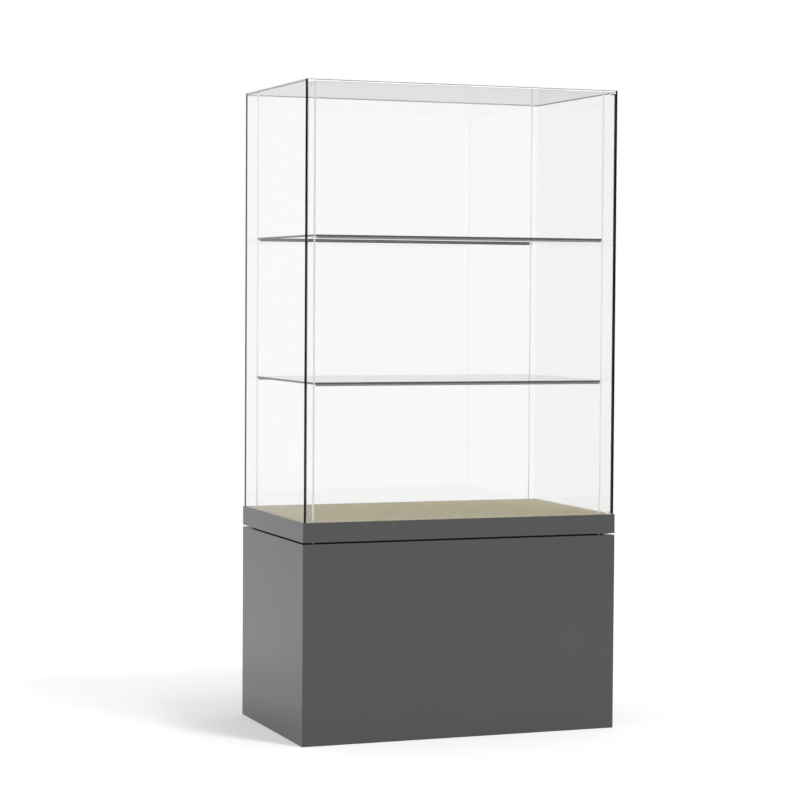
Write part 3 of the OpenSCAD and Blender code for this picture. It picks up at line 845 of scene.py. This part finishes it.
class CASE_OT_fittings(bpy.types.Operator):
    """Finishes the locks, pins, bolts, pads, stops and the door's seal."""

    bl_idname = "case.fittings"
    bl_label = "Locks, pivots and seal"

    def execute(self, context):
        sizes = context.scene.case_sizes
        colours = context.scene.case_colours
        finish_nodes(ZINC, metal("zinc_plate", colours.zinc, roughness=0.35, bump=0.08))
        finish_nodes(BRASS, metal("turned_brass", colours.brass, roughness=0.25, bump=0.05))
        nickel = metal("nickel_plate", colours.zinc, roughness=0.18, bump=0.03)
        for side in ("left", "right"):
            rounded_pieces(("lock_body_" + side,), sizes.metal_round, nickel)
            rounded_pieces(("lock_plug_" + side,), sizes.metal_round, nickel)
        seal = self.lipped_seal(sizes)
        round_edges(seal, sizes.rubber_round)
        seal.data.materials.append(soft_material("black_seal", colours.seal, roughness=0.6))
        stand_for(seal, "glass_door_seal")
        finish_nodes(("glass_door_washer",), soft_material("nylon", colours.nylon, roughness=0.45))
        pale = soft_material("pale_plastic", colours.pale_plastic, roughness=0.4)
        finish_nodes(("glass_door_pivot_top", "post_pads"), pale)
        stops = self.loose_stops(sizes)
        stops.data.materials.append(pale)
        stand_for(stops, "glass_door_stops")
        beige = soft_material("beige_plastic", colours.deck, roughness=0.4)
        finish_nodes(("glass_door_pivot_bottom",), beige)
        return {"FINISHED"}

    def loose_stops(self, sizes):
        """The door's stops, with a hair's breadth between them and the closed door."""
        stops = cleaned_copy("glass_door_stops")
        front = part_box("glass_door_stops")[0][1]
        edit_some(stops, "VERT", lambda corner: abs(corner.co.y - front) < ON_PLANE)
        bpy.ops.transform.translate(value=(0, sizes.joint_line, 0))
        end_edit()
        return stops

    def lipped_seal(self, sizes):
        """The door's seal, with a thin lip that reaches over the joint to the side pane."""
        seal = cleaned_copy("glass_door_seal")
        low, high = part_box("glass_door_seal")
        lip_back = low[1] + sizes.seal_lip
        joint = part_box("pane_right")[0][0] - high[0] - sizes.seal_touch
        cut_across(seal, lip_back)
        edit_some(
            seal, "FACE", lambda face: face.normal.x > SQUARE and face.center.y < lip_back)
        bpy.ops.mesh.extrude_region_move(TRANSFORM_OT_translate={"value": (joint, 0, 0)})
        end_edit()
        return seal


# ---- the stage ----


def lit_white(nodes, links):
    """1 where the camera, a reflection or a refraction looks, and 0 for all other light."""
    path = nodes.new("ShaderNodeLightPath")
    first = nodes.new("ShaderNodeMath")
    first.operation = "MAXIMUM"
    second = nodes.new("ShaderNodeMath")
    second.operation = "MAXIMUM"
    links.new(path.outputs["Is Camera Ray"], first.inputs[0])
    links.new(path.outputs["Is Glossy Ray"], first.inputs[1])
    links.new(first.outputs[0], second.inputs[0])
    links.new(path.outputs["Is Transmission Ray"], second.inputs[1])
    return second.outputs[0]


class CASE_OT_stage(bpy.types.Operator):
    """Sets the floor, the light and the camera."""

    bl_idname = "case.stage"
    bl_label = "Floor, light and camera"

    def execute(self, context):
        stage = context.scene.case_stage
        self.make_floor(stage)
        self.make_world(context, stage)
        self.make_lamp(stage)
        self.make_camera(context, stage)
        context.scene.view_settings.view_transform = "Standard"
        return {"FINISHED"}

    def make_floor(self, stage):
        """A white floor that takes the case's shadow."""
        bpy.ops.mesh.primitive_plane_add(size=stage.floor_size, location=(0, 0, -stage.floor_drop))
        floor = bpy.context.view_layer.objects.active
        floor.name = "floor"
        material, nodes, links = new_material("pale_floor")
        shader = nodes["Principled BSDF"]
        shader.inputs["Base Color"].default_value = rgba(stage.floor_colour)
        shader.inputs["Roughness"].default_value = 0.9
        shader.inputs["Specular IOR Level"].default_value = 0.0
        plain = nodes.new("ShaderNodeEmission")
        share = nodes.new("ShaderNodeMath")
        share.operation = "MULTIPLY"
        links.new(lit_white(nodes, links), share.inputs[0])
        links.new(self.lift_by_distance(nodes, links, stage), share.inputs[1])
        mix = nodes.new("ShaderNodeMixShader")
        links.new(share.outputs[0], mix.inputs["Fac"])
        links.new(shader.outputs["BSDF"], mix.inputs[1])
        links.new(plain.outputs["Emission"], mix.inputs[2])
        links.new(mix.outputs["Shader"], nodes["Material Output"].inputs["Surface"])
        floor.data.materials.append(material)

    def lift_by_distance(self, nodes, links, stage):
        """The share of plain white in the floor, which grows to all of it far from the case."""
        place = nodes.new("ShaderNodeTexCoord")
        distance = nodes.new("ShaderNodeVectorMath")
        distance.operation = "LENGTH"
        links.new(place.outputs["Object"], distance.inputs[0])
        lift = nodes.new("ShaderNodeMapRange")
        lift.inputs["From Min"].default_value = stage.floor_near
        lift.inputs["From Max"].default_value = stage.floor_far
        lift.inputs["To Min"].default_value = stage.floor_lift
        links.new(distance.outputs["Value"], lift.inputs["Value"])
        return lift.outputs["Result"]

    def make_world(self, context, stage):
        """White all round where it is looked at, and dimmer where it lights the case."""
        world = bpy.data.worlds.new("studio")
        context.scene.world = world
        world.use_nodes = True
        nodes, links = world.node_tree.nodes, world.node_tree.links
        strength = nodes.new("ShaderNodeMapRange")
        links.new(lit_white(nodes, links), strength.inputs["Value"])
        strength.inputs["To Min"].default_value = stage.ambient
        background = nodes["Background"]
        background.inputs["Color"].default_value = WHITE
        links.new(strength.outputs["Result"], background.inputs["Strength"])

    def make_lamp(self, stage):
        bpy.ops.object.light_add(type="SUN", location=(0, 0, LAMP_HEIGHT))
        lamp = bpy.context.view_layer.objects.active
        lamp.name = "main_lamp"
        lamp.data.energy = stage.sun_strength
        lamp.data.angle = stage.sun_softness
        lamp.rotation_mode = "QUATERNION"
        lamp.rotation_quaternion = Vector(stage.sun_from).to_track_quat("Z", "Y")

    def make_camera(self, context, stage):
        bpy.ops.object.camera_add()
        camera = bpy.context.view_layer.objects.active
        camera.name = "photo_camera"
        camera.matrix_world = (
            Matrix.Translation(stage.camera_place)
            @ Matrix.Rotation(-stage.camera_yaw, 4, "Z")
            @ Matrix.Rotation(math.pi / 2 + stage.camera_pitch, 4, "X")
            @ Matrix.Rotation(stage.camera_roll, 4, "Z")
        )
        camera.data.sensor_width = SENSOR_WIDTH
        camera.data.lens = stage.focal_length
        camera.data.clip_end = VIEW_REACH
        context.scene.camera = camera


# ---- the add-on ----


class CASE_PT_panel(bpy.types.Panel):
    """Lists the steps that finish the display case."""

    bl_idname = "CASE_PT_panel"
    bl_label = "Display Case"
    bl_space_type = "VIEW_3D"
    bl_region_type = "UI"
    bl_category = "Display Case"

    def draw(self, context):
        for step in STEPS:
            self.layout.operator(step.bl_idname)
        for group, settings in SETTINGS.items():
            box = self.layout.box()
            for name in settings.__annotations__:
                box.prop(getattr(context.scene, group), name)


STEPS = (
    CASE_OT_lacquered_boards,
    CASE_OT_raw_boards,
    CASE_OT_deck,
    CASE_OT_glass,
    CASE_OT_bead,
    CASE_OT_rods,
    CASE_OT_fittings,
    CASE_OT_stage,
)
SETTINGS = {"case_sizes": CaseSizes, "case_colours": CaseColours, "case_stage": CaseStage}


def register():
    for settings in SETTINGS.values():
        bpy.utils.register_class(settings)
    for step in STEPS:
        bpy.utils.register_class(step)
    bpy.utils.register_class(CASE_PT_panel)
    for name, settings in SETTINGS.items():
        setattr(bpy.types.Scene, name, bpy.props.PointerProperty(type=settings))


def unregister():
    for name in SETTINGS:
        delattr(bpy.types.Scene, name)
    bpy.utils.unregister_class(CASE_PT_panel)
    for step in reversed(STEPS):
        bpy.utils.unregister_class(step)
    for settings in reversed(SETTINGS.values()):
        bpy.utils.unregister_class(settings)


def main():
    register()
    bpy.ops.case.lacquered_boards()
    bpy.ops.case.raw_boards()
    bpy.ops.case.deck()
    bpy.ops.case.glass()
    bpy.ops.case.bead()
    bpy.ops.case.rods()
    bpy.ops.case.fittings()
    bpy.ops.case.stage()


if __name__ == "__main__":
    main()
